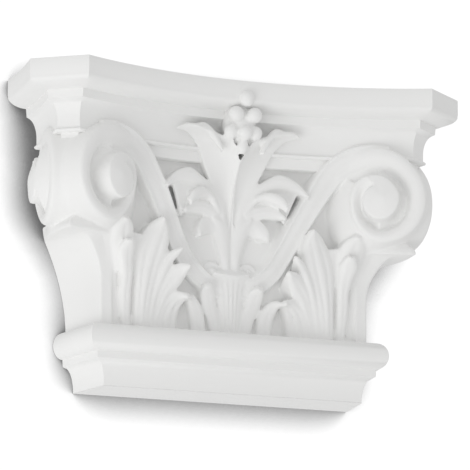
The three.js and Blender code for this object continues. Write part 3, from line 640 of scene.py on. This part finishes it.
FAN = [
    # main blade, then the two below its inner edge
    dict(rows=[(0.78, -0.05, 10, 0.66, -0.05, 10), (0.78, 0.07, 12, 0.66, 0.03, 12),
               (0.775, 0.236, 14, 0.64, 0.165, 14), (0.77, 0.396, 15, 0.58, 0.303, 15),
               (0.73, 0.5, 16, 0.53, 0.434, 17), (0.66, 0.575, 18, 0.525, 0.52, 18),
               (0.59, 0.61, 21, 0.565, 0.6, 21)], belly=3, folds=2, fold_depth=1.3),
    dict(rows=[(0.7, -0.05, 9, 0.62, -0.05, 9), (0.69, 0.06, 11, 0.62, 0.04, 11),
               (0.65, 0.21, 13, 0.6, 0.15, 12.5), (0.59, 0.33, 16, 0.555, 0.26, 15),
               (0.52, 0.42, 18, 0.5, 0.355, 17), (0.44, 0.45, 22, 0.43, 0.435, 22)], belly=2.5),
    dict(rows=[(0.65, -0.05, 8, 0.58, -0.05, 8), (0.64, 0.07, 10, 0.575, 0.05, 10),
               (0.61, 0.18, 12, 0.545, 0.12, 11), (0.57, 0.28, 15, 0.495, 0.19, 13),
               (0.515, 0.335, 17, 0.44, 0.235, 15), (0.455, 0.36, 20, 0.4, 0.29, 18),
               (0.385, 0.355, 24, 0.375, 0.34, 23)], belly=2.5, folds=1),
    # curled blade against the corner leaf
    dict(rows=[(0.86, -0.05, 11, 0.79, -0.05, 11), (0.875, 0.06, 12, 0.8, 0.05, 12),
               (0.89, 0.17, 14, 0.8, 0.17, 14), (0.885, 0.27, 17, 0.795, 0.28, 16),
               (0.905, 0.345, 20, 0.8, 0.365, 18), (0.925, 0.41, 24, 0.8, 0.42, 22),
               (0.89, 0.455, 28, 0.83, 0.46, 28)], belly=2, folds=1),
    # upper curl, up to the foot of the volute
    dict(rows=[(0.93, 0.3, 14, 0.79, 0.3, 14), (0.96, 0.4, 18, 0.79, 0.42, 16),
               (0.98, 0.48, 23, 0.8, 0.5, 20), (0.97, 0.54, 28, 0.83, 0.55, 25),
               (0.92, 0.57, 31, 0.88, 0.575, 30)], belly=2.5, folds=1),
    dict(rows=[(1.01, -0.05, 8, 0.88, -0.05, 9), (1.03, 0.24, 11, 0.905, 0.24, 12),
               (1.07, 0.42, 16, 0.93, 0.42, 17), (1.09, 0.54, 25, 0.96, 0.55, 26)],
         belly=1, hang_from=1.1),
    # ground under the blades, which keeps the valleys shallow
    dict(rows=[(0.99, -0.05, 7, 0.58, -0.05, 6), (0.98, 0.2, 9, 0.52, 0.17, 9),
               (0.96, 0.42, 13, 0.475, 0.34, 13), (0.9, 0.53, 17, 0.53, 0.48, 14)],
         belly=1, hang_from=1.1),
]
LOW_LEAF = [
    # outer half and inner half of a hood over a dark niche
    dict(rows=[(0.66, -0.05, 9, 0.43, -0.05, 6), (0.66, 0.07, 10, 0.425, 0.04, 7),
               (0.62, 0.145, 11, 0.415, 0.1, 8), (0.55, 0.195, 12, 0.4, 0.14, 10),
               (0.46, 0.215, 14, 0.38, 0.165, 13), (0.375, 0.195, 18, 0.365, 0.175, 17)],
         belly=2.5, folds=3, fold_depth=1.3, hang_from=0.6),
    dict(rows=[(0.2, -0.05, 5, 0.31, -0.05, 5), (0.2, 0.06, 6, 0.315, 0.04, 6),
               (0.225, 0.135, 7, 0.325, 0.1, 7), (0.27, 0.185, 9, 0.34, 0.14, 9),
               (0.32, 0.205, 12, 0.35, 0.165, 12), (0.37, 0.19, 16, 0.365, 0.17, 16)],
         belly=2, folds=1, hang_from=0.6),
]
# The cup has a flaring side leaf and a fluted middle.
CALYX_SIDE = dict(rows=[(0.1, -0.05, 3, 4), (0.135, 0.09, 4, 5), (0.17, 0.17, 5, 6),
                        (0.19, 0.235, 8, 6), (0.2, 0.26, 13, 3)], crown=2, groove=0.8)
CALYX = dict(rows=[(0, -0.05, 3, 8), (0, 0.14, 3.5, 9.5), (0, 0.25, 4, 12), (0, 0.32, 5, 15),
                   (0, 0.343, 8, 15)], crown=3, folds=3)
# Thin leaf beside the stalk of the flower.
STRAND = dict(rows=[(0.03, 0.3, 3.5, 3), (0.04, 0.42, 4, 4), (0.058, 0.52, 4.5, 6), (0.09, 0.6, 6, 6),
                    (0.15, 0.65, 7, 2)], crown=2.5)
SIDE_LEAF = [
    # upper blade, bright curl below it, middle blade, ground
    dict(rows=[(0.02, 0.58, 6, 0.07, 0.54, 5), (0.075, 0.74, 7, 0.1, 0.65, 6),
               (0.165, 0.825, 9, 0.155, 0.735, 8), (0.26, 0.875, 11, 0.22, 0.795, 10),
               (0.34, 0.905, 13, 0.31, 0.815, 12), (0.42, 0.89, 15, 0.41, 0.815, 14),
               (0.5, 0.85, 17, 0.49, 0.795, 16), (0.56, 0.785, 20, 0.55, 0.775, 20)], belly=2, folds=3),
    dict(rows=[(0.09, 0.7, 7, 0.115, 0.655, 7), (0.145, 0.76, 10, 0.155, 0.71, 9),
               (0.2, 0.785, 14, 0.2, 0.745, 12), (0.27, 0.795, 18, 0.265, 0.74, 16),
               (0.35, 0.77, 21, 0.33, 0.715, 20), (0.395, 0.715, 22, 0.37, 0.68, 21)],
         belly=2, hang_from=0.4),
    dict(rows=[(0.03, 0.55, 6, 0.065, 0.52, 5), (0.09, 0.665, 7, 0.11, 0.59, 6),
               (0.17, 0.715, 9, 0.15, 0.64, 7), (0.25, 0.73, 10, 0.24, 0.655, 9),
               (0.34, 0.715, 12, 0.33, 0.655, 11), (0.395, 0.67, 15, 0.39, 0.65, 14)],
         belly=1.5, folds=2),
    dict(rows=[(0.05, 0.7, 4.5, 0.085, 0.5, 3.5), (0.18, 0.79, 7, 0.16, 0.6, 5),
               (0.3, 0.84, 9, 0.24, 0.66, 6), (0.4, 0.84, 11, 0.35, 0.68, 8),
               (0.49, 0.815, 15, 0.4, 0.63, 8)], belly=1, hang_from=1.1),
]
SIDE_FLAP = dict(rows=[(0.04, 0.5, 4, 3), (0.1, 0.585, 5, 5), (0.18, 0.605, 6, 7), (0.245, 0.57, 9, 5),
                       (0.27, 0.53, 12, 1)], crown=2)
# The petals meet in a ridge in front. The first edge points outwards against the abacus.
PETAL = dict(rows=[(0.032, 0.55, 5.5, -0.015, 0.53, 5.5), (0.065, 0.69, 8, -0.01, 0.69, 9),
                   (0.125, 0.78, 9, -0.01, 0.79, 12), (0.195, 0.86, 11, -0.008, 0.87, 17),
                   (0.25, 0.945, 13, -0.003, 0.93, 23), (0.305, 1.025, 16, 0.015, 0.965, 26),
                   (0.39, 1.08, 19, 0.04, 1, 29), (0.51, 1.095, 22, 0.08, 1.05, 33)],
             belly=-3, hang_from=0.45,
             top=((0, 0), (0.27, 6), (0.45, 7.5), (0.6, 3), (0.73, -4.5), (0.82, -9), (0.9, -5),
                  (1, 0)))
# The curled rim on the inner side of the petal.
PETAL_CURL = dict(rows=[(0.36, 1.12, 22, 1), (0.29, 1.125, 24, 2.5), (0.235, 1.085, 26, 3),
                        (0.19, 1.035, 27, 2.5), (0.155, 0.985, 28, 1)], crown=2, hang_from=1.1)

# %% [markdown]
# ## Stems, snails and buds

# %% Stems, snails and buds
# Each row: share of the base's half width, height over the bell, share of the rise to the volute.
STEM_PATH = [(0.31, 6, 0.05), (0.405, 7, 0.23), (0.5, 11, 0.46), (0.6, 16, 0.7)]


def stem(steps=90):
    """The channelled stem from the cup to the start of the front scroll."""
    ends = []
    for ahead in (0, 0.06, 0.12, 0.18):
        u, w, _ = scroll_point(SCROLL_START + ahead, 0)
        in_u, in_w, _ = scroll_point(SCROLL_START + ahead, 0.6)
        ends.append(front_face((u + in_u) / 2, (w + in_w) / 2, -0.8 - 16 * ahead))
    join = ends[0]
    path = [
        v3(CUP_HALF - 6, -BELL_FRONT - 4, CUP_Z - 8),
        v3(CUP_HALF + 3, -BELL_FRONT - 5, CUP_Z - 9),
    ]
    for x, above, up in STEM_PATH:
        path.append(v3(BASE_HALF * x, -BELL_FRONT - above, lerp(CUP_Z, join[2], up)))
    path += [v3(join[0] - 7, join[1] + 3, join[2] - 9)] + ends
    rings = []
    for i in range(steps + 1):
        t = i / steps
        p = spline(path, t)
        along = unit(spline(path, min(t + 0.01, 1)) - spline(path, max(t - 0.01, 0)))
        across = unit(np.cross(along, v3(0, -1, 0)))
        face = unit(np.cross(across, along))
        half = lerp(STEM_WIDTH, STEM_WIDTH_AT_VOLUTE, float(smoothstep(t, 0.3, 0.8))) / 2
        ring = []
        for v in np.linspace(-1, 1, 25):
            rim = 1.5 * math.exp(-(((abs(v) - 0.82) / 0.13) ** 2))
            rib = 0.5 * math.exp(-((v / 0.2) ** 2))
            ring.append(p + across * v * half + face * (rim + rib - 1.6 * smoothstep(abs(v), 0.88, 1)))
        outer = STEM_SLOPE * float(smoothstep(t, 0.4, 0.7))
        for far in (half + outer, half / 2, 0, -half / 2, outer - STEM_SLOPE - half):
            q = p + across * far * 0.96
            q[1] = -BELL_FRONT + ROOT_DEPTH
            ring.append(q)
        rings.append(ring)
    return ring_solid(rings)


# Each row: distance from the middle, from the wall and below the top, radius, stretch upwards.
SIDE_BUDS = [(7.5, 66, 26, 6.3, 1.0), (10, 62, 39, 5.6, 1.0)]
MIDDLE_BUDS = [(0, 69, 14, 5.8, 1.1), (0, 66, 40, 5.6, 1.0), (0, 61, 49, 4.2, 1.7),
               (0, 53, 32, 13, 1.4)]


def bud(x, out, below, radius, tall, rings=14, sides=24):
    """A ball, stretched upwards."""
    turn = [2 * math.pi * k / sides for k in range(sides)]
    layers = []
    for i in range(1, rings):
        a = math.pi * (i / rings - 0.5)
        r = radius * math.cos(a)
        z = HEIGHT - below + tall * radius * math.sin(a)
        layers.append([(x + r * math.cos(b), -out + r * math.sin(b), z) for b in turn])
    return ring_solid(layers)


def snail(x, z, steps=40):
    """A small round boss. Rows of its profile: share of its radius, and height."""
    profile = [(1, -8), (1, -0.5), (0.95, 0.6), (0.82, 1.2), (0.7, 0.6), (0.6, 0), (0.48, 0),
               (0.38, 0.8), (0.25, 1.9), (0.08, 2.2)]
    turn = [2 * math.pi * k / steps for k in range(steps)]
    rings = []
    for r, h in profile:
        y = -BELL_FRONT - 2 - h * 1.2
        rings.append([(x + SNAIL_R * r * math.cos(b), y, z + SNAIL_R * r * math.sin(b)) for b in turn])
    return ring_solid(rings)


# %% [markdown]
# ## Fusing the carving
# The leaves, stems and volutes are fused into one skin by small voxels and softened a little.
# The mouldings are added after that, so their edges stay crisp.

# %% Fusing the carving
half = [volute(front_face), volute(side_face), horn(), corner_leaf(), stem()]
half += [snail(BASE_HALF * 0.14, CUP_Z + 4)]
half += [blade(**leaf) for leaf in FAN + LOW_LEAF + SIDE_LEAF + [PETAL]]
half += [lobe(**leaf) for leaf in (CALYX_SIDE, STRAND, SIDE_FLAP, PETAL_CURL)]
half += [bud(*row) for row in SIDE_BUDS]
middle = [lobe(**CALYX)] + [bud(*row) for row in MIDDLE_BUDS]
carving = make_object("capital_casting", [bell()] + half + [mirrored(s) for s in half] + middle)
fuse = carving.modifiers.new("fuse", "REMESH")
fuse.mode = "VOXEL"
fuse.voxel_size = VOXEL * MM
soften = carving.modifiers.new("soften", "SMOOTH")
soften.factor = 0.5
soften.iterations = SOFTEN_STEPS
apply_modifiers(carving)
print("fused carving:", len(carving.data.polygons), "faces")
thin = carving.modifiers.new("thin", "DECIMATE")
thin.ratio = min(1.0, CARVING_TRIANGLES / (2 * len(carving.data.polygons)))
apply_modifiers(carving)

combine(carving, make_object("lip", [bell_lip()]), "UNION")
combine(carving, make_object("abacus", [abacus()]), "UNION")
combine(carving, make_object("base", [base()]), "UNION")
wall_box = [
    level([(-2 * WIDTH, 0), (2 * WIDTH, 0), (2 * WIDTH, WIDTH), (-2 * WIDTH, WIDTH)], z)
    for z in (-HEIGHT, 2 * HEIGHT)
]
combine(carving, make_object("wall_cut", [ring_solid(wall_box)]), "DIFFERENCE")
carving.data.shade_smooth()
carving.data.set_sharp_from_angle(angle=SHARP_ANGLE)
print("casting:", len(carving.data.polygons), "faces")

# %% [markdown]
# ## Material
# White factory primer over hard foam: matte to satin, with a very fine skin texture.

# %% Material
def linear(hex_colour):
    """A colour written as sRGB hex, in the linear values that the shader takes."""
    parts = [int(hex_colour[k:k + 2], 16) / 255 for k in (1, 3, 5)]
    return [c / 12.92 if c <= 0.04045 else ((c + 0.055) / 1.055) ** 2.4 for c in parts] + [1.0]


def add_node(tree, kind, inputs=None, **settings):
    """A node with its settings. An input is a value, or a socket that is linked to it."""
    node = tree.nodes.new(kind)
    for key, value in settings.items():
        setattr(node, key, value)
    for key, value in (inputs or {}).items():
        if isinstance(value, bpy.types.NodeSocket):
            tree.links.new(value, node.inputs[key])
        else:
            node.inputs[key].default_value = value
    return node


def white_primer():
    material = bpy.data.materials.new("white_primed_hard_foam")
    material.use_nodes = True
    tree = material.node_tree
    tree.nodes.clear()
    place = add_node(tree, "ShaderNodeTexCoord").outputs["Object"]
    cloud = add_node(tree, "ShaderNodeTexNoise", {"Vector": place, "Scale": 14.0, "Detail": 3.0})
    grain = add_node(tree, "ShaderNodeTexNoise", {"Vector": place, "Scale": 900.0, "Detail": 2.0})
    colour = add_node(tree, "ShaderNodeMix", {"Factor": cloud.outputs["Fac"], "A": linear("#f3f3f2"),
                                              "B": linear("#f8f8f7")}, data_type="RGBA")
    rough = add_node(tree, "ShaderNodeMapRange", {"Value": cloud.outputs["Fac"], "To Min": 0.48,
                                                  "To Max": 0.58})
    bump = add_node(tree, "ShaderNodeBump", {"Height": grain.outputs["Fac"], "Strength": 0.12,
                                             "Distance": 0.0001})
    skin_shader = add_node(tree, "ShaderNodeBsdfPrincipled", {
        "Base Color": colour.outputs["Result"],
        "Roughness": rough.outputs["Result"],
        "Normal": bump.outputs["Normal"],
        "IOR": 1.45,
    })
    add_node(tree, "ShaderNodeOutputMaterial", {"Surface": skin_shader.outputs["BSDF"]})
    return material


carving.data.materials.clear()
carving.data.materials.append(white_primer())
for polygon in carving.data.polygons:
    polygon.material_index = 0
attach(carving, "root")
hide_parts("capital")

# %% [markdown]
# ## Wall, floor, light and camera
# The capital hangs on a pale wall and is seen from its left and from a little below.

# %% Wall, floor, light and camera
def sheet_object(name, corners, material):
    mesh = bpy.data.meshes.new(name)
    mesh.from_pydata(corners, [], [(0, 1, 2, 3)])
    mesh.materials.append(material)
    obj = bpy.data.objects.new(name, mesh)
    bpy.context.scene.collection.objects.link(obj)
    return obj


def painted_shadow_wall_glow(tree):
    """A white backdrop glow with a painted shadow that is darker close to the object, and clear from
    behind.
    """
    # Painted shadow: ambient occlusion darkens the glow next to the object, where the soft shadow round
    # its outline would fall.
    near = add_node(tree, "ShaderNodeAmbientOcclusion", {"Distance": 0.045}, samples=16).outputs["AO"]
    shade = add_node(tree, "ShaderNodeMapRange", {"Value": near, "From Min": 0.4, "From Max": 0.78,
                                                  "To Min": 0.15, "To Max": 1.05}).outputs["Result"]
    glow = add_node(tree, "ShaderNodeEmission", {"Strength": shade}).outputs["Emission"]
    behind = add_node(tree, "ShaderNodeNewGeometry").outputs["Backfacing"]
    clear = add_node(tree, "ShaderNodeBsdfTransparent").outputs["BSDF"]
    return add_node(tree, "ShaderNodeMixShader", {0: behind, 1: glow, 2: clear}).outputs["Shader"]


def matt_paint(tree):
    return add_node(tree, "ShaderNodeBsdfDiffuse", {"Color": linear("#f4f4f4")}).outputs["BSDF"]


def stage_material(name, make_surface):
    material = bpy.data.materials.new(name)
    material.use_nodes = True
    tree = material.node_tree
    tree.nodes.clear()
    add_node(tree, "ShaderNodeOutputMaterial", {"Surface": make_surface(tree)})
    return material


# Lengths of the stage, in metres.
STAGE_REACH = 3.0
FLOOR_Z = -1.4
WALL_GAP = 0.0005
wall_y = high[1] + WALL_GAP
wall = sheet_object("wall", [
    (-STAGE_REACH, wall_y, FLOOR_Z), (STAGE_REACH, wall_y, FLOOR_Z),
    (STAGE_REACH, wall_y, STAGE_REACH), (-STAGE_REACH, wall_y, STAGE_REACH),
# The wall's glow carries a painted shadow close to the object.
], stage_material("wall_paint_painted_shadow", painted_shadow_wall_glow))
# The wall is a backdrop for the camera alone, so the flat back is lit as freely as the front.
wall.visible_diffuse = False
wall.visible_glossy = False
wall.visible_shadow = False
sheet_object("floor", [
    (-STAGE_REACH, -STAGE_REACH, FLOOR_Z), (STAGE_REACH, -STAGE_REACH, FLOOR_Z),
    (STAGE_REACH, wall_y, FLOOR_Z), (-STAGE_REACH, wall_y, FLOOR_Z),
], stage_material("floor_paint", matt_paint))


def area_light(name, place, aim, size, power):
    lamp = bpy.data.lights.new(name, "AREA")
    lamp.shape = "DISK"
    lamp.size = size
    lamp.energy = power
    obj = bpy.data.objects.new(name, lamp)
    obj.location = place
    obj.rotation_euler = (Vector(aim) - Vector(place)).to_track_quat("-Z", "Y").to_euler()
    bpy.context.scene.collection.objects.link(obj)


middle_of_part = (0.0, 0.0, HEIGHT * MM / 2)
KEY_AT = (-1.36, -0.84, -0.98)
KEY_SIZE = 1.6
KEY_POWER = 11.8
SKY_STRENGTH = 0.69
area_light("key", KEY_AT, middle_of_part, KEY_SIZE, KEY_POWER)

world = bpy.data.worlds.new("studio")
world.use_nodes = True
world.node_tree.nodes["Background"].inputs["Color"].default_value = linear("#ffffff")
world.node_tree.nodes["Background"].inputs["Strength"].default_value = SKY_STRENGTH
bpy.context.scene.world = world

# The camera as fitted to the photo: lens in mm, and places in mm from the foot of the wall plane.
LENS = 327.5
CAMERA_AT = (-1250.9, -2992.9, -518.6)
CAMERA_AIM = (19.6, 0.0, 133.06)
lens = bpy.data.cameras.new("camera")
lens.lens = LENS
lens.sensor_width = 36
lens.clip_end = 50
camera = bpy.data.objects.new("camera", lens)
camera.location = [c * MM for c in (CAMERA_AT[0], CAMERA_AT[1] + WALL_Y, CAMERA_AT[2])]
target = Vector([c * MM for c in (CAMERA_AIM[0], CAMERA_AIM[1] + WALL_Y, CAMERA_AIM[2])])
camera.rotation_euler = (target - camera.location).to_track_quat("-Z", "Y").to_euler()
bpy.context.scene.collection.objects.link(camera)
bpy.context.scene.camera = camera
bpy.context.scene.view_settings.view_transform = "Standard"

# %% [markdown]
# ## Last update
# The view layer is brought up to date.

# %% Last update
bpy.context.view_layer.update()
